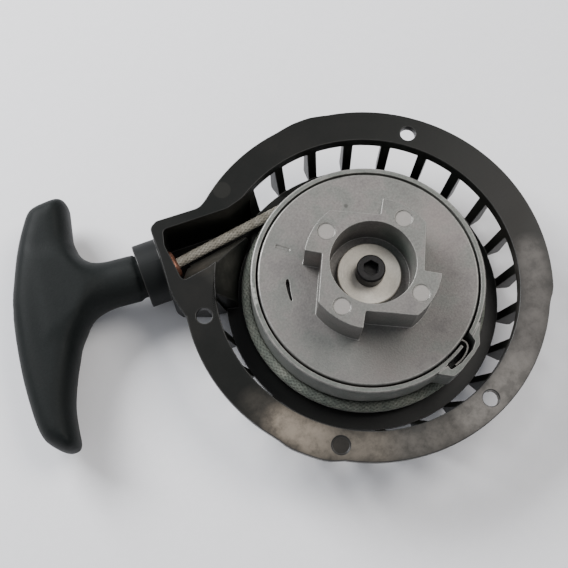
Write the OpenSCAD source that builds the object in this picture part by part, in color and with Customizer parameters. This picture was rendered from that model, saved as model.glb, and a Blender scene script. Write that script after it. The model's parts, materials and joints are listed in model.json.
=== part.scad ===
// Recoil starter for a small two-stroke engine, with an easy-start booster spring.
// Origin: the drum's axis at the flange's engine-side face. +Z points towards the engine.
// The rope leaves the housing along -X, and the T-handle is pulled that way.

/* [Flange] */
// Outer radius of the mounting flange
flange_r = 65; // [64.5:0.1:66]
// Thickness of the mounting flange
flange_t = 3; // [2:0.5:4]
// Radius of the circle that the mounting holes lie on
hole_circle_r = 59; // [58.5:0.5:60]
// Radius of a mounting hole
hole_r = 2.8; // [2.2:0.1:3.2]
// Angle of the first mounting hole
hole_angle = 44; // [40:1:48]

/* [Housing] */
// Inner radius of the slotted wall at the flange
wall_top_r = 53.9; // [53:0.1:54.5]
// Inner radius of the slotted wall at the floor
wall_low_r = 50.7; // [50.5:0.1:51.5]
// Thickness of the slotted wall at the floor
wall_t = 5.4; // [4.5:0.1:5.5]
// Depth of the floor below the flange face
floor_depth = 20; // [19.5:0.5:21]
// Thickness of the floor
floor_t = 2.5; // [2:0.5:3]
// Inner radius of the recoil spring's well
well_r = 33; // [32:0.5:34]
// Depth of the well's floor below the flange face
well_depth = 27; // [26.5:0.5:28]
// Number of slot places round the wall, those in the rope box included
slot_places = 24; // [20:1:24]
// Width of a slot, as an angle
slot_angle = 11.2; // [8:0.2:11.6]
// Angle of the first slot's middle
slot_first = 13.5; // [12:0.5:15]
// Number of ribs on the back
back_ribs = 12; // [6:1:16]

/* [Rope and snout] */
// Diameter of the rope
rope_d = 3.6; // [3.2:0.1:3.8]
// Distance of the rope's line from the drum's axis
rope_y = 43; // [42.9:0.1:43.2]
// Depth of the rope's line below the flange face
rope_depth = 15.1; // [15:0.05:15.2]
// Outer radius of the snout that the handle seats in
snout_r = 11.8; // [11.3:0.1:12]
// Length of the snout from the eyelet to its mouth
snout_len = 11.2; // [10.5:0.1:11.5]
// Angle of the snout to the rope's line
snout_tilt = 8.5; // [6:0.5:9]

/* [Drum] */
// Outer radius of the drum's spring cup
cup_r = 41.5; // [41:0.1:41.5]
// Wall thickness of the spring cup
cup_t = 1.9; // [1.5:0.1:2]
// Height of the cup's rim above the flange face
cup_top = 2.2; // [1.5:0.1:2.3]
// Depth of the rope groove's upper cheek below the flange face
groove_depth = 13; // [12.9:0.05:13.05]
// Radius of the rope groove's core
core_r = 34; // [33:0.5:34]
// Radius of the drum's lower flange
drum_flange_r = 44.6; // [44:0.1:45]

/* [Claw disc] */
// Radius of the claw disc
disc_r = 38.9; // [38.5:0.1:39]
// Height of the claw disc's face above the flange face
disc_top = 2.4; // [2:0.1:2.5]
// Thickness of the claw disc
disc_t = 3; // [2.5:0.1:3]
// Height of the hub's face above the flange face
hub_top = 17.7; // [15:0.1:20]
// Radius of the hub's bore
hub_bore_r = 14.6; // [14:0.1:15]
// Radius of the lobes
lobe_r = 23.4; // [22.5:0.1:24]
// Radius at the foot of each lobe's driving step
step_r = 17.4; // [17:0.1:18]
// Angle of the first driving step
step_angle = 50.5; // [40:0.5:60]

/* [Handle] */
// Thickness of the T-handle
grip_t = 20; // [18:0.5:22]
// Radius of the handle's stem
stem_r = 8.7; // [8:0.1:9]
// Radius of the handle's nose, which seats in the snout
nose_r = 7.8; // [7:0.1:8]
// Angle of the stem to the rope's line as the handle rests in its seat
stem_tilt = 14; // [10:1:15]

/* [Hidden] */
$fn = 96;
eps = 0.05;                      // overlap that keeps cuts clean
gap = 0.3;                       // space between pieces that move past each other
run_fit = 0.05;                  // radial clearance of a part that turns on the sleeve
floor_z = -floor_depth;
base_z = floor_z - floor_t;
well_z = -well_depth;
back_z = well_z - floor_t;
well_wall = 2.5;
wall_out_r = wall_top_r + 3.6;
cover_t = 0.6;
cover_r = well_r + 1;
lip = 0.2;                       // clearance round the spring cover
post_r = 6;
sleeve_r = 8;
post_top = 3;
insert_r = 4.2;
insert_len = 13;
screw_r = 3;
thread_clear = 0.05;
washer_r = 11.2;
washer_t = 2.2;
washer_top = post_top + washer_t;
head_r = 5;
head_h = 6;
hex_af = 5;
hex_depth = 3.2;
screw_len = 14;
rope_r = rope_d/2;
rope_z = -rope_depth;
groove_low = -groove_depth - rope_d - 0.6;
drum_low = groove_low - 1.6;
cup_floor = -groove_depth + 1.6;
lug_low = -groove_depth + 1;
lug_top = cup_top - 0.3;
boss_r = 12.5;                   // hub boss that a spring's inner end hooks on
slot_pitch = 360/slot_places;
slot_top = -4.6;
slot_depth = floor_depth - flange_t - 1;
slot_skip = [110, 156];          // the rope box takes the slots between these angles
lobes = 4;
lobe_arc = 43;
knot_angle = 60;
knot_r = 3;
seat_x = -64;                    // end of the eyelet's hole in the handle's seat
seat_depth = 6.8;                // from the eyelet to the seat's floor, along the snout
seat_play = 1.35;                 // radial space round the handle's nose
stem_x = -61.5;                  // where the tilted stem's axis meets the rope's line
ramp_r = 46.5;
ramp_z = -13;
ramp_y = 39.3;
deck_y = 31;
ramp_angles = [126, 156.5];
slit_r = 28.45;
mark_depth = 0.3;
eyelet_x = -57.2;                // face of the rope box wall that the eyelet sits on
eyelet_r = 3.4;
eyelet_bore = 2.5;
knot_way = 46.5;                 // from the stem's pivot to the handle's knot, along the stem
box_low = -26.5;
box_floor = -24;
spring_gap = 0.5;
recoil_t = 0.5;
booster_t = 0.8;

black = "#26282a";
cast = "#918e8a";
steel = "#c8beaf";
dark = "#1d1d1f";
copper = "#8a5a44";
rope_tint = "#aaa396";

// ---- Outlines -------------------------------------------------------------------------

// Rounds each corner [x, y, r] of an outline; a corner with r = 0 stays sharp.
function unit(v) = v/norm(v);
function xy(p) = [p[0], p[1]];
function corner(a, b, c, r, n = 6) =
    let(u = unit(a - b), v = unit(c - b), half = acos(max(-1, min(1, u*v)))/2,
        t = min(r/tan(half), 0.48*min(norm(a - b), norm(c - b))))
    [for (i = [0:n]) let(s = i/n) (1-s)*(1-s)*(b + u*t) + 2*s*(1-s)*b + s*s*(b + v*t)];
function rounded(p) = let(n = len(p))
    [for (i = [0:n-1]) each p[i][2] == 0 ? [xy(p[i])] :
        corner(xy(p[(i+n-1)%n]), xy(p[i]), xy(p[(i+1)%n]), p[i][2])];
function arc(r, a0, a1, n = 12) = [for (i = [0:n]) let(a = a0 + (a1-a0)*i/n) [r*cos(a), r*sin(a)]];

// Rope box: outside and cavity, seen from the engine side
box_outline = [
    [-14, 38, 0], [-14, 55, 0], [-34.9, 54.9, 0], [-39, 52.8, 6], [-55, 55.8, 2], [-58.2, 54.6, 4],
    [-59.8, 44, 6], [-63, 29.5, 4], [-61.6, 26.8, 2], [-50, 20.4, 0], [-44, 30, 0], [-34, 33, 0]];
box_brim = [[-63.2, 29, 3], [-62.4, 19.6, 0], [-58, 16, 0], [-50, 20, 0], [-56, 34, 0]];
box_cavity = [
    [-22, 44, 0], [-20.4, 49.6, 0], [-24.5, 48.3, 8], [-30.5, 47.5, 8], [-54.4, 51.6, 2],
    [-56.6, 46, 3], [-57.2, 31.2, 2], [-47, 31.4, 6], [-37, 33, 6], [-28, 36, 0]];
// Flange edge: [angle, how far the edge stands outside flange_r]
flange_edge = [
    [-128, -0.6], [-37, -0.4], [-33, 0.8], [10, 0.9], [72, 0.4], [78, 1], [84, 0.8], [90, 0.1],
    [150, 0.1], [211, 0], [215, 0.8], [227, 0.7], [232, -0.6]];

// Lug on the drum's rim that anchors the booster spring, and its pocket
lug_outline = [
    [0, -38, 0], [1.6, -40.8, 0], [3.6, -42.4, 0], [6.9, -45, 1.5], [10.4, -44.4, 4], [17, -41.8, 4],
    [20.8, -39.8, 2], [22.8, -36.4, 4], [27, -31.3, 0], [24, -30.4, 0]];
pocket_outline = [
    [7, -40.2, 0.8], [7.2, -42.5, 0.8], [11.8, -42.1, 6], [17.8, -40, 3], [20, -38, 1.5],
    [19.6, -33.8, 0], [14.4, -35.8, 0], [15.4, -37.8, 0.5], [12.2, -38.95, 0], [9.6, -39.65, 0]];

// T-handle, whose crossbar is slanted to the rope's line
grip_outline = [
    [-83, 56.2, 9], [-86.2, 64, 6], [-79.8, 82.2, 2], [-81.6, 85.6, 2],
    [-93.8, 86.2, 4], [-101.4, 76.8, 14], [-110.6, 61.6, 20], [-117.8, 44.2, 24], [-123.6, 24, 22],
    [-125.2, 8, 8], [-121.2, -1.2, 2], [-115.2, -1.2, 2], [-110, 14.6, 20], [-98, 36.2, 14],
    [-84, 38.6, 6]];

// The corners of an outline moved inwards by d; the outline runs clockwise.
function inset(p, d) = let(n = len(p)) [for (i = [0:n-1])
    let(b = xy(p[i]), u = unit(b - xy(p[(i+n-1)%n])), v = unit(xy(p[(i+1)%n]) - b),
        m = unit([u[1] + v[1], -u[0] - v[0]]), k = d/max(0.5, m*[u[1], -u[0]]))
    [b[0] + m[0]*k, b[1] + m[1]*k, p[i][2]]];

// ---- Helpers --------------------------------------------------------------------------

module ring(r_out, r_in, z0, z1) {
    translate([0, 0, z0]) difference() {
        cylinder(r = r_out, h = z1 - z0);
        translate([0, 0, -1]) cylinder(r = r_in, h = z1 - z0 + 2);
    }
}

module slab(points, z0, z1) {
    translate([0, 0, z0]) linear_extrude(z1 - z0) polygon(points);
}

// A cylinder along X on the rope's line, from x0 to x1
module along_rope(r, x0, x1) {
    translate([x0, rope_y, rope_z]) rotate([0, 90, 0]) cylinder(r = r, h = x1 - x0);
}

// A cylinder along the handle's tilted stem, from a to b behind the nose
module along_stem(r, a, b) {
    translate([stem_x, rope_y, rope_z]) rotate([0, 0, -stem_tilt]) rotate([0, -90, 0])
        translate([0, 0, a]) cylinder(r = r, h = b - a);
}

// A cylinder along the tilted snout, from a to b outside the eyelet
module along_snout(r, a, b) {
    translate([eyelet_x, rope_y, rope_z]) rotate([0, 0, -snout_tilt]) rotate([0, -90, 0])
        translate([0, 0, a]) cylinder(r = r, h = b - a);
}

// A flat spiral strip, wound from r0 out to r1
function spiral(r0, r1, turns, a0, n = 20) =
    [for (i = [0:turns*n]) let(s = i/(turns*n), a = a0 + 360*turns*s) (r0 + (r1-r0)*s)*[cos(a), sin(a)]];
module spiral_strip(r0, r1, turns, a0, t, z0, z1) {
    inner = spiral(r0, r1, turns, a0);
    outer = spiral(r0 + t, r1 + t, turns, a0);
    slab(concat(inner, [for (i = [len(outer)-1:-1:0]) outer[i]]), z0, z1);
}

// ---- Housing --------------------------------------------------------------------------

function slot_a(i) = slot_first + i*slot_pitch;
function in_box(a) = a > slot_skip[0] && a < slot_skip[1];

module slots() {
    for (i = [0:slot_places-1]) if (!in_box(slot_a(i)))
        slab(concat(arc(wall_low_r - 0.1, slot_a(i) - slot_angle/2, slot_a(i) + slot_angle/2, 4),
                    arc(wall_top_r + wall_t + 1, slot_a(i) + slot_angle/2, slot_a(i) - slot_angle/2, 2)),
             base_z - 4, slot_top);
}

function edge_out(a) = lookup(a, flange_edge);
module flange() {
    steps = 180;
    difference() {
        slab([for (i = [0:steps-1]) let(a = -128 + 360*i/steps) (flange_r + edge_out(a))*[cos(a), sin(a)]],
             -flange_t, 0);
        translate([0, 0, -flange_t - 1]) cylinder(r = wall_top_r, h = flange_t + 2, $fn = 144);
    }
}

module wall() {
    rotate_extrude($fn = 144) polygon([
        [wall_top_r, -flange_t - 1], [wall_top_r, -0.4], [wall_out_r, -0.4],
        [wall_low_r + wall_t, base_z + 1], [wall_low_r + wall_t - 1, base_z],
        [well_r, base_z], [well_r, floor_z], [wall_low_r, floor_z]]);
}

module well() {
    ring(well_r + well_wall, well_r, back_z + 1, floor_z);
    translate([0, 0, back_z]) cylinder(r1 = well_r + well_wall - 1, r2 = well_r + well_wall, h = 1);
    translate([0, 0, back_z + 1]) cylinder(r = well_r + eps, h = floor_t - 1);
    for (i = [0:back_ribs-1]) rotate([0, 0, slot_first + slot_pitch/2 + i*360/back_ribs])
        translate([well_r + 1, -1, base_z - 2.5]) cube([wall_low_r - well_r - 1.5, 2, 2.5 + eps]);
}

module post() {
    difference() {
        translate([0, 0, well_z - eps]) cylinder(r = post_r, h = post_top - well_z + eps);
        translate([0, 0, post_top - insert_len]) cylinder(r = insert_r, h = insert_len + 1);
    }
}

module rope_box() {
    difference() {
        slab(rounded(box_outline), box_low, 0);
        translate([0, 0, floor_z]) cylinder(r1 = wall_low_r + eps, r2 = wall_top_r + eps, h = slot_depth);
        translate([0, 0, floor_z + slot_depth]) cylinder(r = wall_top_r + eps, h = floor_depth);
        translate([0, 0, box_low - 1]) cylinder(r = well_r + well_wall, h = well_depth);
    }
    slab(rounded(box_brim), -flange_t, 0);
    along_snout(snout_r, 2.2, snout_len);
}

// A ramp slopes from the deck beside the eyelet down to the drum and to the rope's line.
module ramp() {
    difference() {
        intersection() {
            rotate_extrude($fn = 144) polygon([
                [ramp_r, ramp_z], [wall_top_r, -eps], [flange_r, -eps], [flange_r, floor_z - 0.5],
                [ramp_r, floor_z - 0.5]]);
            translate([eyelet_x - 0.1, 0, 0]) rotate([90, 0, 90]) linear_extrude(40) polygon([
                [0, -eps], [deck_y, -eps], [ramp_y, ramp_z], [ramp_y, floor_z - 1], [0, floor_z - 1]]);
            slab(concat([[0, 0]], arc(75, ramp_angles[0], ramp_angles[1], 4)), floor_z - 1, 0);
        }
        along_rope(6.2, eyelet_x - 1, eyelet_x + 6);
    }
}

module housing() {
    color(black) {
        difference() {
            union() {
                flange();
                wall();
                rope_box();
            }
            slots();
            slab(rounded(box_cavity), box_floor, 1);
            along_snout(nose_r + seat_play, seat_depth, snout_len + 1);
            along_rope(eyelet_r, seat_x - 1, eyelet_x + 1);
            along_rope(6.2, eyelet_x, eyelet_x + 6);
            for (i = [0:2]) rotate([0, 0, hole_angle + 120*i])
                translate([hole_circle_r, 0, -flange_t - 2]) cylinder(r = hole_r, h = flange_t + 3);
            translate([0, 0, floor_z - cover_t]) cylinder(r = cover_r + lip, h = floor_depth + 1);
            rotate([0, 0, 230]) translate([59.6, 0, -mark_depth]) cylinder(r = 3.1, h = 1);
        }
        difference() {
            well();
            translate([0, 0, floor_z - cover_t]) cylinder(r = cover_r + lip, h = floor_depth);
        }
        ramp();
        post();
    }
}

module rope_eyelet() {
    color(copper) translate([0, rope_y, rope_z]) rotate([0, 90, 0]) rotate_extrude($fn = 48)
        polygon(concat(
            [[eyelet_bore, seat_x + 0.6], [eyelet_r, seat_x + 0.6], [eyelet_r, eyelet_x], [5.6, eyelet_x]],
            [for (i = [0:8]) let(a = i*22.5) [4.1 + 1.5*cos(a), eyelet_x + 0.5 + 2*sin(a)]],
            [[eyelet_bore, eyelet_x + 0.4]]));
}

module post_insert() {
    color("#b59a4c") ring(insert_r, screw_r + thread_clear, post_top - insert_len, post_top);
}

module pivot_sleeve() {
    color(steel) ring(sleeve_r, post_r, well_z + 1, post_top);
}

module retaining_washer() {
    color(steel) translate([0, 0, post_top]) difference() {
        union() {
            cylinder(r = washer_r, h = washer_t - 0.3);
            translate([0, 0, washer_t - 0.3]) cylinder(r1 = washer_r, r2 = washer_r - 0.3, h = 0.3);
        }
        translate([0, 0, -1]) cylinder(r = screw_r + 0.3, h = washer_t + 2);
    }
}

module centre_screw() {
    color(dark) translate([0, 0, washer_top]) difference() {
        union() {
            cylinder(r = head_r, h = head_h - 0.5);
            translate([0, 0, head_h - 0.5]) cylinder(r1 = head_r, r2 = head_r - 0.5, h = 0.5);
            translate([0, 0, -screw_len]) cylinder(r = screw_r, h = screw_len + eps);
        }
        translate([0, 0, head_h - hex_depth]) cylinder(d = hex_af/cos(30), h = hex_depth + 1, $fn = 6);
    }
}

module recoil_spring() {
    color(steel) spiral_strip(boss_r + spring_gap, well_r - 1.4, 7, 0, recoil_t,
                              well_z + spring_gap, floor_z - cover_t - spring_gap);
}

module spring_cover() {
    color(steel) ring(cover_r, boss_r + 2.5, floor_z - cover_t, floor_z);
}

// ---- Drum -----------------------------------------------------------------------------

module knot_hole(r) {
    rotate([0, 0, knot_angle]) translate([core_r - 10, 0, rope_z]) rotate([0, 90, 0])
        cylinder(r = r, h = 9.8);
}

module rope_drum() {
    color(cast) difference() {
        union() {
            rotate_extrude($fn = 144) polygon([
                [sleeve_r + run_fit, well_z + 1], [boss_r, well_z + 1], [boss_r, -groove_depth],
                [core_r - 3, -groove_depth], [core_r - 3, drum_low], [drum_flange_r - 0.4, drum_low],
                [drum_flange_r, drum_low + 0.4], [drum_flange_r, groove_low - 0.3],
                [drum_flange_r - 0.3, groove_low], [core_r, groove_low], [core_r, -groove_depth],
                [cup_r, -groove_depth], [cup_r, cup_top - 0.4], [cup_r - 0.4, cup_top],
                [cup_r - cup_t, cup_top], [cup_r - cup_t, cup_floor], [sleeve_r + run_fit, cup_floor]]);
            for (i = [0:5]) rotate([0, 0, 60*i + 30])
                translate([boss_r - 1, -1, drum_low + 1.6])
                    cube([core_r - boss_r - 1, 2, -groove_depth - drum_low - 1.6 + eps]);
            difference() {
                slab(rounded(lug_outline), lug_low, lug_top);
                translate([0, 0, -groove_depth]) cylinder(r = cup_r - cup_t, h = groove_depth + 2);
            }
        }
        slab(rounded(pocket_outline), cup_floor, cup_top + 1);
        rotate([0, 0, knot_angle]) translate([core_r - 5, 0, rope_z])
            rotate([0, 90, 0]) cylinder(r = rope_r + 0.2, h = 6);
    }
}

module wound_rope() {
    color(rope_tint) {
        difference() {
            ring(cup_r - 0.2, core_r + 0.1, rope_z - rope_r, rope_z + rope_r);
            translate([-40, rope_y - rope_r - 0.15, rope_z - 3]) cube([41.2, 5, 6]);
        }
        difference() {
            rotate_extrude() translate([rope_y, rope_z]) circle(r = rope_r, $fn = 24);
            slab(concat([[0, 0]], arc(60, 88, 120, 4)), rope_z - 3, rope_z + 3);
        }
    }
}

module drum_knot() {
    color(rope_tint) {
        rotate([0, 0, knot_angle]) translate([core_r - 7.2, 0, rope_z - 1.2]) sphere(r = knot_r, $fn = 32);
        intersection() {
            knot_hole(rope_r);
            cylinder(r = core_r - 0.2, h = 60, center = true);
        }
    }
}

module booster_spring() {
    color(steel) {
        spiral_strip(boss_r + spring_gap, cup_r - cup_t - 1.6, 6, -70, booster_t, cup_floor + spring_gap,
                     disc_top - disc_t - gap);
    }
}

// ---- Claw disc ------------------------------------------------------------------------

function lobe(k) = let(s = step_angle + 360/lobes*k)
    concat(arc(lobe_r, s - lobe_arc, s, 10), [[step_r*cos(s), step_r*sin(s)]]);

// One edge of the tapered slit; side is 1 outside and -1 inside.
function slit_edge(side) = [for (i = [0:6])
    let(a = 153 + 16*i/6, w = i == 0 ? 0.7 : 1.4 - 0.13*i) (slit_r + side*w/2)*[cos(a), sin(a)]];

module claw_disc() {
    under = disc_top - disc_t;
    color(cast) difference() {
        union() {
            rotate_extrude($fn = 144) polygon([
                [sleeve_r + run_fit, cup_floor + gap], [boss_r, cup_floor + gap], [boss_r, under],
                [disc_r, under], [disc_r, disc_top - 0.4], [disc_r - 0.4, disc_top],
                [sleeve_r + run_fit, disc_top]]);
            difference() {
                slab([for (k = [0:lobes-1]) each lobe(k)], disc_top - 1, hub_top);
                translate([0, 0, disc_top]) cylinder(r = hub_bore_r, h = hub_top);
            }
        }
        translate([0, 0, -groove_depth]) cylinder(r = sleeve_r + run_fit, h = groove_depth + hub_top);
        for (k = [0:lobes-1]) rotate([0, 0, step_angle - 25 + 90*k])
            translate([19, 0, hub_top - 0.25]) cylinder(r = 3, h = 1, $fn = 48);
        slab(concat(slit_edge(1), [for (i = [6:-1:0]) slit_edge(-1)[i]]), under - 1, disc_top + 1);
        slab([[-23.2, 25.3], [-22.4, 26.1], [-18.8, 22.3], [-19.6, 21.5]],
             disc_top - mark_depth, disc_top + 1);
    }
}

// ---- Handle and rope ------------------------------------------------------------------

module handle_grip() {
    color(black) difference() {
        union() {
            slab(rounded(grip_outline), rope_z - 4, rope_z + 4);
            slab(rounded(inset(grip_outline, 2)), rope_z - grip_t/2, rope_z + grip_t/2);
            along_stem(stem_r, 8.3, 33);
            along_stem(nose_r, 3.4, 9);
        }
        along_stem(rope_r + 0.3, 1, knot_way + 12);
        along_stem(5, knot_way - 4, knot_way + 20);
    }
}

module handle_washer() {
    color(steel) difference() {
        along_stem(4.8, knot_way - 4, knot_way - 3);
        along_stem(rope_r + 0.3, knot_way - 6, knot_way);
    }
}

module handle_knot() {
    color(rope_tint) {
        translate([stem_x, rope_y, rope_z]) rotate([0, 0, -stem_tilt]) translate([-knot_way - 1.4, 0, 0])
            sphere(r = 4.2, $fn = 32);
        along_stem(rope_r, knot_way, knot_way + 7);
    }
}

module rope_run() {
    color(rope_tint) {
        along_rope(rope_r, stem_x, -1, $fn = 24);
        along_stem(rope_r, -0.4, knot_way - 4, $fn = 24);
    }
}

housing();
rope_eyelet();
post_insert();
pivot_sleeve();
recoil_spring();
spring_cover();
retaining_washer();
centre_screw();
rope_drum();
wound_rope();
drum_knot();
booster_spring();
claw_disc();
handle_grip();
handle_washer();
handle_knot();
rope_run();
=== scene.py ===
"""Looks of the recoil starter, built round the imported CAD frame.

Everything is in metres in the row frame: the drum turns about +Z, which points at the engine,
and the rope leaves the housing along -X. Shapes are worked out in millimetres and scaled by MM;
the camera, the lamps and the floor are in metres.
"""
import json
import math

import bmesh
import bpy
import numpy as np
from mathutils import Matrix, Vector


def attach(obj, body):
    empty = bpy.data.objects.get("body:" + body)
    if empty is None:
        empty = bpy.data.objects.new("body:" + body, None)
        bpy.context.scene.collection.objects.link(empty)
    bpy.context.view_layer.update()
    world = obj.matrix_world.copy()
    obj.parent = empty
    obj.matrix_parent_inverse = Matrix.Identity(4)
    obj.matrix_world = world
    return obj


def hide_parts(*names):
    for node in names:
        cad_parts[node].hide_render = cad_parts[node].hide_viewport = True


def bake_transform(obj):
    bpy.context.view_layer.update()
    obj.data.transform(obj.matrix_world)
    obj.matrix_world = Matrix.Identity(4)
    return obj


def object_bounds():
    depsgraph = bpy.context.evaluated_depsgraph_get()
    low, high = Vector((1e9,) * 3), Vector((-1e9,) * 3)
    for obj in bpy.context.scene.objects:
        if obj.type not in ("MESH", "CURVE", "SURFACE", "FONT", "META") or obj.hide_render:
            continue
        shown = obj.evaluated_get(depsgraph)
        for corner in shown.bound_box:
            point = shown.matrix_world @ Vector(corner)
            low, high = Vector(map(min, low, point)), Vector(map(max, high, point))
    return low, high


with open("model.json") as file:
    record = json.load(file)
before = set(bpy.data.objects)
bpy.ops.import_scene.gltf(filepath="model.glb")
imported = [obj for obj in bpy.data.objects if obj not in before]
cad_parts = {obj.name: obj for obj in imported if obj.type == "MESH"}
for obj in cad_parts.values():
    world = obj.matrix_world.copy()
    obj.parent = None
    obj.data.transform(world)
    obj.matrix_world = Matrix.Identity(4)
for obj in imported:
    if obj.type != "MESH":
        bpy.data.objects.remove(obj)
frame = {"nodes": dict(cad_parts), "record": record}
cad_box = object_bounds()
MM = 0.001

# Sizes that the CAD model and the looks share, in millimetres
ROPE_R = 1.8
ROPE_Y = 43.0
ROPE_Z = -15.1
EYELET_X = -57.2
STEM_X = -61.5
STEM_TILT = math.radians(14)
STEM_R = 8.7
NOSE_R = 7.8
KNOT_WAY = 46.5
GRIP_Z = -15.1
STEM_WAY = np.array([-math.cos(STEM_TILT), math.sin(STEM_TILT), 0.0])
STEM_START = np.array([STEM_X, ROPE_Y, ROPE_Z])
FLANGE_MID_R = 59.5

# Camera and floor, in metres
CAMERA_PLACE = (-0.0821, -0.0712, 0.3128)
CAMERA_RIGHT = (0.8675, -0.4970, 0.0200)
CAMERA_BACK = (-0.1682, -0.2552, 0.9521)
SENSOR_MM = 36
LENS_MM = 59.26
FLOOR_HALF = 1.6

# ---- Camera, floor and light ------------------------------------------------------------


def add_camera():
    """The camera that looks down on the starter from the engine side."""
    data = bpy.data.cameras.new("camera")
    data.sensor_width = SENSOR_MM
    data.lens = LENS_MM
    data.clip_start = 0.01
    right = Vector(CAMERA_RIGHT).normalized()
    back = Vector(CAMERA_BACK).normalized()
    up = back.cross(right).normalized()
    camera = bpy.data.objects.new("camera", data)
    turn = Matrix((right, up, back)).transposed().to_4x4()
    camera.matrix_world = Matrix.Translation(CAMERA_PLACE) @ turn
    bpy.context.scene.collection.objects.link(camera)
    bpy.context.scene.camera = camera


def add_floor(material):
    """A plain pale sheet under the spring well."""
    z = cad_box[0][2]
    mesh = bpy.data.meshes.new("floor")
    signs = ((-1, -1), (1, -1), (1, 1), (-1, 1))
    mesh.from_pydata([(i * FLOOR_HALF, j * FLOOR_HALF, z) for i, j in signs], [], [(0, 1, 2, 3)])
    floor = bpy.data.objects.new("floor", mesh)
    bpy.context.scene.collection.objects.link(floor)
    mesh.materials.append(material)


def add_light(name, place, aim, size, watts, colour):
    """A soft rectangular lamp at place, turned towards aim; size is (long side, short side)."""
    data = bpy.data.lights.new(name, "AREA")
    data.shape = "RECTANGLE"
    data.size, data.size_y = size
    data.energy = watts
    data.color = colour
    lamp = bpy.data.objects.new(name, data)
    way = Vector(place) - Vector(aim)
    lamp.matrix_world = Matrix.Translation(place) @ way.to_track_quat("Z", "Y").to_matrix().to_4x4()
    bpy.context.scene.collection.objects.link(lamp)


def add_world(colour, strength):
    """Even light from all round."""
    world = bpy.data.worlds.new("room")
    world.use_nodes = True
    background = world.node_tree.nodes["Background"]
    background.inputs["Color"].default_value = (*colour, 1)
    background.inputs["Strength"].default_value = strength
    bpy.context.scene.world = world


# ---- Materials --------------------------------------------------------------------------

RELIEF_DEPTH = 0.0002   # metres
WIDE_EDGE = 5           # mm


def add(tree, kind, values=None, links=None, **settings):
    """A shader node with its settings, values and incoming links."""
    node = tree.nodes.new("ShaderNode" + kind)
    for key, value in settings.items():
        setattr(node, key, value)
    for key, value in (values or {}).items():
        node.inputs[key].default_value = value
    for key, source in (links or {}).items():
        tree.links.new(source, node.inputs[key])
    return node


def mapped(tree, source, low, high, out_low, out_high):
    """source remapped from low..high to out_low..out_high."""
    node = add(tree, "MapRange", {"From Min": low, "From Max": high, "To Min": out_low,
                                  "To Max": out_high}, {"Value": source})
    return node.outputs["Result"]


def mixed(tree, factor, a, b, blend="MIX"):
    """Colours a and b mixed; each is a socket or a plain colour, and so is factor."""
    node = add(tree, "Mix", data_type="RGBA", blend_type=blend)
    for socket, value in ((node.inputs[0], factor), (node.inputs[6], a), (node.inputs[7], b)):
        if isinstance(value, bpy.types.NodeSocket):
            tree.links.new(value, socket)
        else:
            socket.default_value = value if isinstance(value, float) else (*value, 1)
    return node.outputs[2]


def noise(tree, place, scale, detail, roughness=0.5):
    """The value of a noise texture at place."""
    return add(tree, "TexNoise", {"Scale": scale, "Detail": detail, "Roughness": roughness},
               {"Vector": place}).outputs["Fac"]


def darkened(tree, colour, shade):
    """colour multiplied by the value shade."""
    grey = add(tree, "CombineColor", links={0: shade, 1: shade, 2: shade}).outputs[0]
    return mixed(tree, 1.0, colour, grey, "MULTIPLY")


def nearness(tree, place, centre, radius, soft, most):
    """most within radius mm of centre, falling to 0 over a soft edge of soft mm."""
    away = add(tree, "VectorMath", {1: tuple(c * MM for c in centre)}, {0: place},
               operation="DISTANCE").outputs["Value"]
    return mapped(tree, away, radius * MM, (radius + soft) * MM, most, 0.0)


def math_node(tree, operation, a, b):
    """The result of a sum or product of two sockets."""
    return add(tree, "Math", links={0: a, 1: b}, operation=operation).outputs[0]


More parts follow.
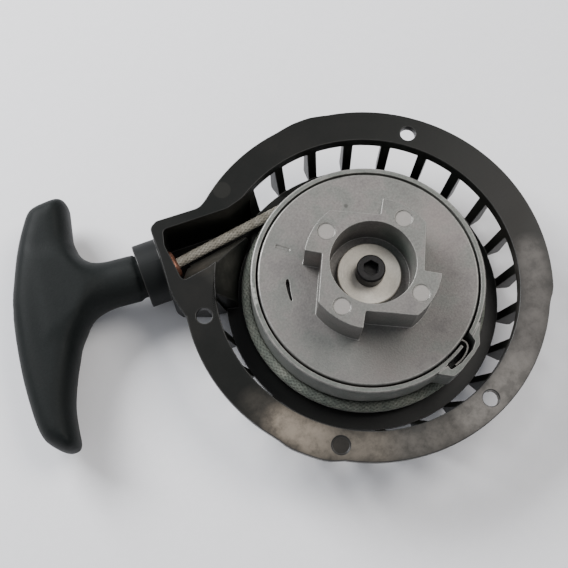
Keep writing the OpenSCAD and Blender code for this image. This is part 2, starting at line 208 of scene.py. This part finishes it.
def surface(name, tones, rough, metallic=0.0, patch=45, fleck=1100, fleck_depth=0.12, bump=0.15,
            grain=2600, spots=(), rings=None, slick=0.5, dull=None, woven=False, blotch=None):
    """A material with patches of several tones, fine flecks, round marks and a fine grain.

    spots are (centre in mm, radius in mm, soft edge in mm, colour, share). rings gives the
    spacing in mm of turned marks round the drum's axis. dull is a rougher zone: (centre in mm,
    radius in mm, soft edge in mm, added roughness). woven darkens the hollows that note_weave
    stored, which paints shade in the braid's hollows. blotch is the scale of a noise that
    breaks up the spots with a wide soft edge.
    """
    material = bpy.data.materials.new(name)
    material.use_nodes = True
    tree = material.node_tree
    shader = tree.nodes["Principled BSDF"]
    place = add(tree, "TexCoord").outputs["Object"]
    broad = noise(tree, place, patch, 5, 0.62)
    fine = noise(tree, place, fleck, 3, 0.6)
    ramp = add(tree, "ValToRGB", links={"Fac": broad})
    steps = ramp.color_ramp.elements
    while len(steps) < len(tones):
        steps.new(0.5)
    for i, tone in enumerate(tones):
        steps[i].position = 0.33 + 0.34 * i / max(1, len(tones) - 1)
        steps[i].color = (*tone, 1)
    colour = darkened(tree, ramp.outputs["Color"],
                      mapped(tree, fine, 0.3, 0.7, 1 - fleck_depth, 1 + fleck_depth))
    if woven:
        # painted shade: the braid's hollows are darkened by their depth
        weave = add(tree, "Attribute", attribute_name="weave").outputs["Fac"]
        colour = darkened(tree, colour, mapped(tree, weave, 0.35, 0.85, 0.62, 1.1))
    for centre, radius, soft, tint, share in spots:
        near = nearness(tree, place, centre, radius, soft, share)
        if blotch and soft > WIDE_EDGE:
            uneven = mapped(tree, noise(tree, place, blotch, 4, 0.7), 0.38, 0.62, 0.45, 1.1)
            near = math_node(tree, "MULTIPLY", near, uneven)
        colour = mixed(tree, near, colour, tint)
    tree.links.new(colour, shader.inputs["Base Color"])
    polish = mapped(tree, broad, 0.3, 0.7, *rough)
    if dull:
        polish = math_node(tree, "ADD", polish, nearness(tree, place, *dull))
    tree.links.new(polish, shader.inputs["Roughness"])
    shader.inputs["Metallic"].default_value = metallic
    shader.inputs["Specular IOR Level"].default_value = slick
    height = noise(tree, place, grain, 2)
    if rings:
        flat = add(tree, "VectorMath", {1: (1, 1, 0)}, {0: place}, operation="MULTIPLY").outputs[0]
        radius = add(tree, "VectorMath", links={0: flat}, operation="LENGTH").outputs["Value"]
        turned = add(tree, "TexNoise", {"Scale": 1000 / rings, "Detail": 2}, {"W": radius},
                     noise_dimensions="1D").outputs["Fac"]
        height = math_node(tree, "ADD", height, turned)
    relief = add(tree, "Bump", {"Strength": bump, "Distance": RELIEF_DEPTH}, {"Height": height})
    tree.links.new(relief.outputs["Normal"], shader.inputs["Normal"])
    return material


# ---- Mesh helpers -----------------------------------------------------------------------

WELD_GAP = 3e-6         # metres
FLAT_ANGLE = 0.6        # degrees: flatter creases are dissolved
EDGE_ANGLE = 34         # degrees: sharper edges are rounded
BRAID_PITCH = 2.3       # mm
BRAID_STRANDS = 8
BRAID_HEIGHT = 0.36     # mm
BRAID_LEVEL = 0.6       # the braid's height that lies on the rope's nominal radius


def finish_piece(obj, body, slot_name, nodes, materials=()):
    """Links obj, gives it its materials, by default its slot's material, and makes it ride on its
    body, if it has one.
    """
    bpy.context.scene.collection.objects.link(obj)
    obj.data.materials.clear()
    for material in materials or (LOOK[slot_name],):
        obj.data.materials.append(material)
    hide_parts(*nodes)
    if body:
        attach(obj, body)
    return obj


def mesh_object(name, points, faces, smooth=True):
    """A new mesh object from points in millimetres."""
    mesh = bpy.data.meshes.new(name)
    mesh.from_pydata((np.asarray(points, float) * MM).tolist(), [], faces)
    mesh.update()
    mesh.polygons.foreach_set("use_smooth", [smooth] * len(mesh.polygons))
    return bpy.data.objects.new(name, mesh)


def soften(node, width, worn):
    """A copy of a CAD node with edges rounded to width mm; worn puts them in a second material."""
    source = frame["nodes"][node]
    mesh = source.data.copy()
    mesh.transform(source.matrix_world)
    bm = bmesh.new()
    bm.from_mesh(mesh)
    bmesh.ops.remove_doubles(bm, verts=bm.verts, dist=WELD_GAP)
    bmesh.ops.dissolve_limit(bm, angle_limit=math.radians(FLAT_ANGLE), verts=bm.verts,
                             edges=bm.edges)
    bm.to_mesh(mesh)
    bm.free()
    mesh.polygons.foreach_set("use_smooth", [True] * len(mesh.polygons))
    obj = bpy.data.objects.new(node + "_look", mesh)
    bevel = obj.modifiers.new("rounding", "BEVEL")
    bevel.width = width * MM
    bevel.segments = 2
    bevel.limit_method = "ANGLE"
    bevel.angle_limit = math.radians(EDGE_ANGLE)
    bevel.use_clamp_overlap = False
    bevel.miter_outer = "MITER_ARC"
    if worn:
        bevel.material = 1
    normals = obj.modifiers.new("flat faces", "WEIGHTED_NORMAL")
    normals.mode = "FACE_AREA"
    normals.weight = 100
    return obj


def sweep(path, sections):
    """Points and faces of a closed tube: N points and N x M offsets (across, up) in mm."""
    path = np.asarray(path, float)
    way = np.gradient(path, axis=0)
    way /= np.linalg.norm(way, axis=1)[:, None]
    up = np.array([0.0, 0.0, 1.0]) - way * way[:, 2:3]
    up /= np.linalg.norm(up, axis=1)[:, None]
    side = np.cross(way, up)
    count = sections.shape[1]
    points = path[:, None] + side[:, None] * sections[..., :1] + up[:, None] * sections[..., 1:]
    faces = []
    for i in range(len(path) - 1):
        for j in range(count):
            a, b = i * count + j, i * count + (j + 1) % count
            faces.append((a, b, b + count, a + count))
    faces.append(tuple(range(count - 1, -1, -1)))
    faces.append(tuple((len(path) - 1) * count + j for j in range(count)))
    return points.reshape(-1, 3), faces


def along(path):
    """Distance along a path at each of its points."""
    return np.concatenate([[0], np.cumsum(np.linalg.norm(np.diff(path, axis=0), axis=1))])


def strand(x):
    """Rounded height of one strand, which repeats at whole numbers."""
    return 1 - (2 * (x - np.floor(x)) - 1) ** 2


def braid(distance, turn):
    """Height from 0 to 1 of a round diamond braid at a distance along it and an angle round it."""
    a = BRAID_STRANDS * turn / (2 * math.pi) + distance / BRAID_PITCH
    b = BRAID_STRANDS * turn / (2 * math.pi) - distance / BRAID_PITCH
    over = 0.5 + 0.5 * np.cos(math.pi * (np.floor(a) + np.floor(b)))
    return np.maximum(strand(a) * (0.55 + 0.45 * over), strand(b) * (1.0 - 0.45 * over))


def rope_sections(path, radius, count, braided):
    """Circular sections along path, raised by the braid where braided is 1."""
    turn = np.linspace(0, 2 * math.pi, count, endpoint=False)[None]
    bump = braid(along(path)[:, None], turn) - BRAID_LEVEL
    r = radius + BRAID_HEIGHT * bump * np.asarray(braided, float)[:, None]
    return np.stack([r * np.cos(turn), r * np.sin(turn)], -1)


def note_weave(obj, sections, radius):
    """Stores each point's height in the weave; the material paints shade in the hollows."""
    height = (np.linalg.norm(sections, axis=-1) - radius).ravel() / BRAID_HEIGHT + BRAID_LEVEL
    layer = obj.data.attributes.new("weave", "FLOAT", "POINT")
    layer.data.foreach_set("value", height.astype(np.float32))


def bar_sections(count, thickness, low, high):
    """Flat strip sections, thickness across and low..high up, with its top edges cut back."""
    t = thickness / 2
    cut = 0.15
    ring = [(-t, low), (t, low), (t, high - cut), (t - cut, high), (cut - t, high),
            (-t, high - cut)]
    return np.tile(np.array(ring)[None], (count, 1, 1))


def smooth_curve(points, step):
    """A Catmull-Rom curve through points, sampled about every step mm."""
    p = np.asarray(points, float)
    p = np.vstack([2 * p[0] - p[1], p, 2 * p[-1] - p[-2]])
    out = []
    for a, b, c, d in zip(p, p[1:], p[2:], p[3:]):
        count = max(2, int(np.linalg.norm(c - b) / step))
        t = np.linspace(0, 1, count, endpoint=False)[:, None]
        out.append(0.5 * (2 * b + (c - a) * t + (2 * a - 5 * b + 4 * c - d) * t ** 2
                          + (3 * b - a - 3 * c + d) * t ** 3))
    return np.vstack(out + [p[-2:-1]])


def net(field, low, step):
    """Surface net of a sampled field that is positive inside: points in mm and quads.

    Each cell that the surface crosses gets one point, the mean of the crossings on its edges,
    and each grid edge that the surface crosses gets the quad of the four cells round it.
    """
    inside = field > 0
    shape = np.array(field.shape) - 1
    total = np.zeros((*shape, 3))
    count = np.zeros(shape)
    axes = ((0, 1, 2), (1, 2, 0), (2, 0, 1))
    crossings = []
    for axis, u, v in axes:
        first = [slice(None)] * 3
        second = [slice(None)] * 3
        first[axis], second[axis] = slice(0, -1), slice(1, None)
        f0, f1 = field[tuple(first)], field[tuple(second)]
        cross = inside[tuple(first)] != inside[tuple(second)]
        t = np.where(cross, f0 / np.where(cross, f0 - f1, 1), 0)
        crossings.append((cross, inside[tuple(first)]))
        for du in (0, 1):
            for dv in (0, 1):
                cut = [slice(None)] * 3
                cut[u] = slice(du, du + shape[u])
                cut[v] = slice(dv, dv + shape[v])
                hit = cross[tuple(cut)]
                count += hit
                total[..., axis] += np.where(hit, t[tuple(cut)], 0)
                total[..., u] += hit * du
                total[..., v] += hit * dv
    used = count > 0
    index = np.full(shape, -1)
    index[used] = np.arange(used.sum())
    cells = np.argwhere(used)
    points = low + step * (cells + total[used] / count[used][:, None])
    faces = []
    for (axis, u, v), (cross, start_in) in zip(axes, crossings):
        for cell in np.argwhere(cross):
            if cell[u] < 1 or cell[v] < 1 or cell[u] >= shape[u] or cell[v] >= shape[v]:
                continue
            corners = []
            for du, dv in ((-1, -1), (0, -1), (0, 0), (-1, 0)):
                c = cell.copy()
                c[u] += du
                c[v] += dv
                corners.append(int(index[tuple(c)]))
            faces.append(tuple(corners if start_in[tuple(cell)] else corners[::-1]))
    return points, faces


# ---- T-handle ---------------------------------------------------------------------------

# The bar's outline in the XY plane, anticlockwise from the stem's upper side, in mm
GRIP_OUTLINE = [
    (-85.0, 66.0), (-84.0, 70.5), (-81.3, 78.0), (-79.8, 83.0), (-81.3, 86.2), (-87.0, 87.3),
    (-93.2, 86.9), (-98.0, 82.4), (-104.3, 74.0), (-110.2, 64.0), (-114.4, 56.0), (-118.4, 44.6),
    (-122.2, 30.4), (-124.6, 17.0), (-125.1, 9.6), (-124.0, 5.4), (-120.4, 0.2), (-117.6, -1.0),
    (-115.4, -0.5), (-114.2, 1.6), (-112.8, 6.8), (-110.3, 14.0), (-105.3, 22.8), (-100.2, 30.3),
    (-97.0, 36.0), (-96.0, 44.0), (-92.0, 54.0), (-88.0, 60.0)]


def outline_distance(x, y, outline):
    """Distance from each point to a closed outline, positive inside."""
    a = np.asarray(outline, float)
    b = np.roll(a, -1, 0)
    best = np.full(x.shape, 1e9)
    odd = np.zeros(x.shape, bool)
    for (ax, ay), (bx, by) in zip(a, b):
        dx, dy = bx - ax, by - ay
        t = np.clip(((x - ax) * dx + (y - ay) * dy) / (dx * dx + dy * dy), 0, 1)
        best = np.minimum(best, np.hypot(x - ax - t * dx, y - ay - t * dy))
        crosses = (ay > y) != (by > y)
        odd ^= crosses & (x < ax + (y - ay) * dx / (dy if dy else 1e-9))
    return np.where(odd, best, -best)


def blend_max(a, b, width):
    """Smooth union of two fields that are positive inside."""
    h = np.clip(0.5 + 0.5 * (a - b) / width, 0, 1)
    return b + (a - b) * h + width * h * (1 - h)


def build_handle():
    """The moulded T-handle: a crowned bar on a round stem, bored for the rope and its knot."""
    step = 0.9
    low = np.array([-129.0, -5.0, -27.5])
    counts = (78, 107, 28)
    x, y, z = np.meshgrid(*[low[i] + step * np.arange(counts[i]) for i in range(3)], indexing="ij")

    # The bar: its outline, rounded over towards both faces
    curve = smooth_curve([(*p, 0) for p in GRIP_OUTLINE + GRIP_OUTLINE[:1]], 1.2)[:, :2]
    flat = outline_distance(x[:, :, 0], y[:, :, 0], curve[:-1])[:, :, None]
    rounding, half, power = 8.5, 10.0, 2.5
    edge = np.clip(1 - flat / rounding, 0, None)
    lift = np.abs(z - GRIP_Z) / half
    bar = rounding * (1 - (edge ** power + lift ** power) ** (1 / power))

    # The stem and its nose, by the distance along the stem's axis and off it
    here = np.stack([x, y, z], -1) - STEM_START
    far = here @ STEM_WAY
    off = np.linalg.norm(here - far[..., None] * STEM_WAY, axis=-1)
    stem_foot, stem_end, nose_foot, nose_end = 8.4, 38, 3.5, 12
    flare = 3.2 * np.clip((far - 17) / 12, 0, 1.2) ** 2
    stem = np.minimum(STEM_R + flare - off, np.minimum(far - stem_foot, stem_end - far))
    nose = np.minimum(NOSE_R - off, np.minimum(far - nose_foot, nose_end - far))

    # Joined with a web, kept inside the bar's two faces, with the moulding pip on its back
    web, face_half, face_edge, pip_r = 9.0, 10.2, 1.2, 1.3
    body = blend_max(bar, stem, web)
    body = -blend_max(-body, lift * half - face_half, face_edge)
    body = np.minimum(body, far - stem_foot)
    body = np.maximum(body, nose)
    pip_place = np.array([-113.8, 57.6, GRIP_Z])
    pip = pip_r - np.linalg.norm(np.stack([x, y, z], -1) - pip_place, axis=-1)
    body = blend_max(body, pip, 0.6)

    # Bored for the rope, and wider from the back for the knot
    rope_gap, knot_bore, knot_floor = 0.35, 4.6, KNOT_WAY - 4
    body = np.minimum(body, off - ROPE_R - rope_gap)
    body = np.minimum(body, np.maximum(off - knot_bore, knot_floor - far))

    points, faces = net(body, low, step)
    obj = mesh_object("handle_grip_look", points, faces)
    relax = obj.modifiers.new("relax", "SMOOTH")
    relax.factor = 0.5
    relax.iterations = 3
    return finish_piece(obj, "handle", "grip_plastic", ["handle_grip"])


# ---- Rope -------------------------------------------------------------------------------


def build_rope_run():
    """The rope from the drum through the eyelet and the handle, up to the handle's knot."""
    wall_x = -57.0
    x = np.concatenate([np.arange(-1.0, wall_x, -0.2), np.arange(wall_x, STEM_X + 0.6, -0.5)])
    straight = np.stack([x, np.full_like(x, ROPE_Y), np.full_like(x, ROPE_Z)], 1)
    reach = np.arange(0.6, KNOT_WAY - 2, 0.25)
    path = np.vstack([straight, STEM_START + reach[:, None] * STEM_WAY])
    braided = np.clip((path[:, 0] + 60) / 4, 0, 1)
    radius = ROPE_R - 0.05
    sections = rope_sections(path, radius, 48, braided)
    obj = mesh_object("rope_run_look", *sweep(path, sections))
    note_weave(obj, sections, radius)
    finish_piece(obj, None, "rope_braid", ["rope_run"])
    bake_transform(obj)


def build_wound_rope():
    """Three layers of rope in the drum's groove; the outer one shows and leaves along the run."""
    outer = 450
    degrees = np.concatenate([np.arange(-300, outer, 3.0), np.arange(outer, 810.1, 0.42)])
    radius = np.interp(degrees, [-300, 60, 100, 400, outer, 810],
                       [35.9, 35.9, 39.4, 39.4, ROPE_Y, ROPE_Y])
    wander = 0.12 * np.sin(np.radians(degrees) * 7.3)
    angle = np.radians(degrees)
    path = np.stack([radius * np.cos(angle), radius * np.sin(angle), ROPE_Z + wander], 1)
    sections = rope_sections(path, ROPE_R, 32, degrees > outer - 1)
    obj = mesh_object("wound_rope_look", *sweep(path, sections))
    note_weave(obj, sections, ROPE_R)
    # the wound rope takes the darker copy of the rope's material, painted shade
    return finish_piece(obj, "drum", "rope_braid", ["wound_rope"], (ROPE_SHADED,))


def build_knot(name, centre, way, size, body, node):
    """An overhand knot pulled tight, its axis along way."""
    rope_r = 1.45
    t = np.linspace(0, 2 * math.pi, 160)
    knot = np.stack([np.sin(t) + 2 * np.sin(2 * t), np.cos(t) - 2 * np.cos(2 * t),
                     -1.3 * np.sin(3 * t)], 1)
    knot *= size / 3.0
    turn = np.array(Vector(way).to_track_quat("Z", "Y").to_matrix())
    path = knot @ turn.T + np.array(centre)
    path = np.vstack([path[2:], path[:3]])
    around = np.linspace(0, 2 * math.pi, 20, endpoint=False)
    ring = np.stack([rope_r * np.cos(around), rope_r * np.sin(around)], -1)
    sections = np.tile(ring[None], (len(path), 1, 1))
    obj = mesh_object(name, *sweep(path, sections))
    note_weave(obj, sections, rope_r)
    return finish_piece(obj, body, "rope_braid", [node])


def build_eyelet():
    """The copper eyelet: a tube through the wall whose end is rolled over round the rope."""
    bore_r, tube_r, depth = 2.5, 3.4, -6.2
    lip_r, lip_half, lip_foot, lip_height = 4.1, 1.55, 0.5, 2.0
    roll = np.linspace(0, math.pi, 15)
    profile = np.array(
        [(bore_r, depth)]
        + [(lip_r - lip_half * math.cos(t), lip_foot + lip_height * math.sin(t)) for t in roll]
        + [(lip_r + lip_half, 0.0), (tube_r, 0.0), (tube_r, depth)])
    around = np.linspace(0, 2 * math.pi, 72, endpoint=False)
    points = []
    for t in around:
        dent = 1 + 0.025 * math.sin(3 * t + 0.6) + 0.018 * math.sin(7 * t)
        out = np.where(profile[:, 1] > 0.4, profile[:, 0] * dent, profile[:, 0])
        points += [(EYELET_X + way, ROPE_Y + r * math.cos(t), ROPE_Z + r * math.sin(t))
                   for r, way in zip(out, profile[:, 1])]
    count, rows = len(profile), len(around)
    faces = []
    for i in range(rows):
        for j in range(count):
            here, after = i * count, (i + 1) % rows * count
            up = (j + 1) % count
            faces.append((here + j, after + j, after + up, here + up))
    return finish_piece(mesh_object("rope_eyelet_look", points, faces), "housing", "copper_eyelet",
                        ["rope_eyelet"])


# ---- Springs ----------------------------------------------------------------------------


def build_booster():
    """The booster spring: a flat spiral in the cup whose end hooks round the cup's tongue."""
    first, last, inner_r, outer_r = -70, 2090, 13.4, 38.2
    degrees = np.arange(first, last, 4.0)
    radius = inner_r + (outer_r - inner_r) * (degrees - first) / (last - first)
    angle = np.radians(degrees)
    spiral = np.stack([radius * np.cos(angle), radius * np.sin(angle), np.zeros(len(angle))], 1)
    hook = [(14.0, -35.3, 0), (15.8, -34.8, 0), (17.1, -35.3, 0), (17.8, -36.8, 0),
            (17.3, -38.4, 0), (15.2, -40.1, 0), (12.7, -41.1, 0), (10.2, -41.6, 0)]
    path = np.vstack([spiral, smooth_curve(hook, 0.4)])
    points, faces = sweep(path, bar_sections(len(path), 0.8, -10.9, -0.9))
    return finish_piece(mesh_object("booster_spring_look", points, faces, smooth=False), "drum",
                        "spring_steel", ["booster_spring"])


# ---- Assembly ---------------------------------------------------------------------------

add_camera()
add_floor(surface("paper", [(0.91, 0.91, 0.93), (0.94, 0.94, 0.96)], (0.85, 0.95), patch=3,
                  fleck=300, fleck_depth=0.01, bump=0.02, slick=0.1))
add_world((0.93, 0.95, 1.0), 0.46)
add_light("window", (-0.30, 0.70, 0.52), (-0.05, 0.1, 0), (0.5, 0.4), 13.5, (0.97, 0.98, 1.0))
add_light("ceiling", (0.62, 0.05, 1.0), (0, 0, 0), (0.6, 0.5), 7.5, (1.0, 0.96, 0.91))

# Painted sheen on the flange's lower half: first and last angle, tint and share
FLANGE_SHEEN = [
    (200, 210, (0.06, 0.053, 0.044), 0.45),
    (210, 226, (0.22, 0.186, 0.148), 0.85),
    (226, 250, (0.15, 0.13, 0.106), 0.62),
    (250, 276, (0.112, 0.102, 0.09), 0.5),
    (276, 304, (0.165, 0.152, 0.138), 0.75),
    (304, 345, (0.105, 0.096, 0.088), 0.6),
]


def ring_spots(degrees, ring_r, z, radius, soft, tint, share):
    """Spots at several angles on a ring round the drum's axis."""
    return [((ring_r * math.cos(t), ring_r * math.sin(t), z), radius, soft, tint, share)
            for t in np.radians(degrees).tolist()]


# Spots round the flange that paint its sheen, a painted reflection
FLANGE_SHEEN_SPOTS = []
for first, last, tint, share in FLANGE_SHEEN:
    FLANGE_SHEEN_SPOTS += ring_spots(np.arange(first, last, 6.0), FLANGE_MID_R, 0, 2.6, 5.5, tint, share)
LOBE_MARKS = ring_spots(25.5 + 90 * np.arange(4), 19, 17.6, 2.4, 0.9, (0.31, 0.29, 0.272), 0.7)

LOOK = {
    "housing_plastic": surface(
        "housing_plastic",
        [(0.0045, 0.0053, 0.0045), (0.006, 0.0063, 0.0055), (0.0085, 0.008, 0.0068)],
        (0.33, 0.42), patch=28, fleck_depth=0.12, bump=0.08, grain=3200, slick=0.2,
        dull=((-70, 45, -15), 14, 5, 0.22), blotch=170, spots=FLANGE_SHEEN_SPOTS + [
            ((-70, 45, -15), 14, 5, (0.003, 0.0042, 0.0044), 0.8),
            # The next two lighter spots are painted light on the sloping face and the deck by the
            # rope's channel
            ((-40, 30, -5), 3.0, 9, (0.052, 0.05, 0.043), 0.75),
            ((-48, 35, -4), 1.0, 7, (0.045, 0.037, 0.029), 0.6),
            ((-38.3, -45.7, 0), 3.0, 0.25, (0.004, 0.004, 0.004), 0.85),
            ((-28.7, 54.8, 0), 3.0, 0.4, (0.03, 0.029, 0.025), 0.3),
            ((-12.4, -52.7, 0), 2.6, 0.5, (0.02, 0.02, 0.02), 0.3)]),
    "grip_plastic": surface(
        "grip_plastic", [(0.006, 0.0078, 0.0076), (0.009, 0.0106, 0.0103)], (0.48, 0.6), patch=38,
        fleck_depth=0.14, bump=0.3, grain=2400, slick=0.13),
    "die_casting": surface(
        "die_casting",
        [(0.122, 0.12, 0.112), (0.14, 0.142, 0.13), (0.17, 0.157, 0.147), (0.143, 0.131, 0.126)],
        (0.42, 0.6), metallic=0.12, patch=95, fleck=1300, fleck_depth=0.2, bump=0.4, grain=1700,
        spots=[
            # The first spot is painted shade: the disc darkens towards its lower left
            ((-30, -30, 2), 8.0, 46, (0.105, 0.107, 0.10), 0.5),
            ((-22, 30, 2), 2.0, 22, (0.12, 0.12, 0.112), 0.3),
            ((-12.0, -32.0, 2), 0.0, 15, (0.14, 0.115, 0.107), 0.4),
            ((30.0, 4.0, 2), 2.0, 14, (0.23, 0.19, 0.178), 0.4),
            ((6.7, 26.6, 2.4), 0.5, 0.5, (0.05, 0.05, 0.045), 0.8),
            ((15, 3, 6), 2.0, 10, (0.10, 0.14, 0.117), 0.5),
            ((-13, 12, 10), 2.0, 9, (0.19, 0.145, 0.13), 0.35)] + LOBE_MARKS),
    "zinc_steel": surface(
        "zinc_steel", [(0.48, 0.448, 0.39), (0.57, 0.535, 0.468)], (0.36, 0.5), metallic=0.25,
        patch=120, fleck_depth=0.08, bump=0.25, rings=0.35),
    "black_oxide": surface(
        "black_oxide", [(0.006, 0.006, 0.006), (0.012, 0.011, 0.011)], (0.3, 0.42), patch=300,
        fleck_depth=0.25, bump=0.25, grain=2500, slick=0.18),
    "spring_steel": surface(
        "spring_steel", [(0.08, 0.082, 0.08), (0.14, 0.13, 0.12)], (0.34, 0.5), metallic=0.6,
        patch=110, fleck_depth=0.2, bump=0.15),
    "copper_eyelet": surface(
        "copper_eyelet", [(0.10, 0.045, 0.03), (0.30, 0.13, 0.085), (0.42, 0.22, 0.16)],
        (0.28, 0.5), metallic=0.7, patch=320, fleck_depth=0.3, bump=0.3),
    "brass_insert": surface(
        "brass_insert", [(0.5, 0.36, 0.14), (0.62, 0.47, 0.2)], (0.3, 0.45), metallic=0.85,
        patch=200, fleck_depth=0.1),
    "rope_braid": surface(
        "rope_braid", [(0.36, 0.335, 0.28), (0.45, 0.425, 0.36), (0.52, 0.495, 0.43)], (0.75, 0.9),
        patch=420, fleck=1500, fleck_depth=0.3, bump=0.6, grain=4200, slick=0.2, woven=True),
}
WORN = surface("worn_edge", [(0.17, 0.168, 0.158), (0.27, 0.262, 0.245)], (0.3, 0.5), metallic=0.5,
               patch=160, fleck_depth=0.2, bump=0.2)
# Lighter spots on the rim's outer edge at its left: a painted highlight
RIM_HIGHLIGHT_SPOTS = [((x, y, 2.2), 0.7, 0.6, (0.33, 0.34, 0.31), 0.85)
               for x, y in ((-37.6, 17.6), (-37.9, 15.6), (-38.6, 13.6), (-39.2, 11.4))]
# A darker, greener copy of the die casting for the drum: its tones are painted shade
DRUM_CAST_SHADED = surface(
    "drum_casting_shaded", [(0.095, 0.105, 0.093), (0.12, 0.128, 0.115), (0.16, 0.158, 0.146)],
    (0.42, 0.6), metallic=0.12, patch=140, fleck=1300, fleck_depth=0.22, bump=0.4, grain=1700,
    spots=RIM_HIGHLIGHT_SPOTS)
# A darker, greener copy of the rope's material for the wound rope under the cup's rim: painted
# shade
ROPE_SHADED = surface("wound_rope_shaded", [(0.12, 0.135, 0.115), (0.165, 0.178, 0.15), (0.23, 0.237, 0.2)],
                    (0.75, 0.9), patch=260, fleck=2000, fleck_depth=0.35, bump=0.5, grain=4200,
                    slick=0.2, woven=True)
SHINY_EDGE = surface("rubbed_edge", [(0.014, 0.014, 0.013), (0.026, 0.025, 0.023)], (0.3, 0.4),
                     patch=60, fleck_depth=0.1, bump=0.1, slick=0.4)

SLOTS = {part["node"]: part["material_slot"] for part in frame["record"]["subparts"]}

# Nodes that get rounded edges: body, width in mm, and material of the rubbed edges
ROUNDED = {
    "housing": ("housing", 0.32, SHINY_EDGE),
    "rope_drum": ("drum", 0.25, WORN),
    "claw_disc": ("claw", 0.28, WORN),
    "retaining_washer": ("housing", 0.12, None),
    "centre_screw": ("housing", 0.15, None),
}
for node, (body, width, edge) in ROUNDED.items():
    piece = soften(node, width, worn=edge is not None)
    # the drum takes the darker copy of the die casting, which paints shade
    own = DRUM_CAST_SHADED if node == "rope_drum" else LOOK[SLOTS[node]]
    finish_piece(piece, body, SLOTS[node], [node], (own, edge) if edge else (own,))

# Nodes that need no rounding keep their CAD mesh and body
for node in ("post_insert", "pivot_sleeve", "spring_cover", "recoil_spring", "handle_washer"):
    mesh = frame["nodes"][node].data
    mesh.materials.clear()
    mesh.materials.append(LOOK[SLOTS[node]])

build_handle()
build_rope_run()
build_eyelet()
build_wound_rope()
build_booster()
DRUM_KNOT_R = 26.2
knot_turn = math.radians(60)
knot_way = (math.cos(knot_turn), math.sin(knot_turn), 0)
build_knot("drum_knot_look", (DRUM_KNOT_R * knot_way[0], DRUM_KNOT_R * knot_way[1], ROPE_Z - 0.3),
           knot_way, 2.3, "drum", "drum_knot")
build_knot("handle_knot_look", STEM_START + (KNOT_WAY + 1.4) * STEM_WAY, STEM_WAY, 2.1, "handle",
           "handle_knot")
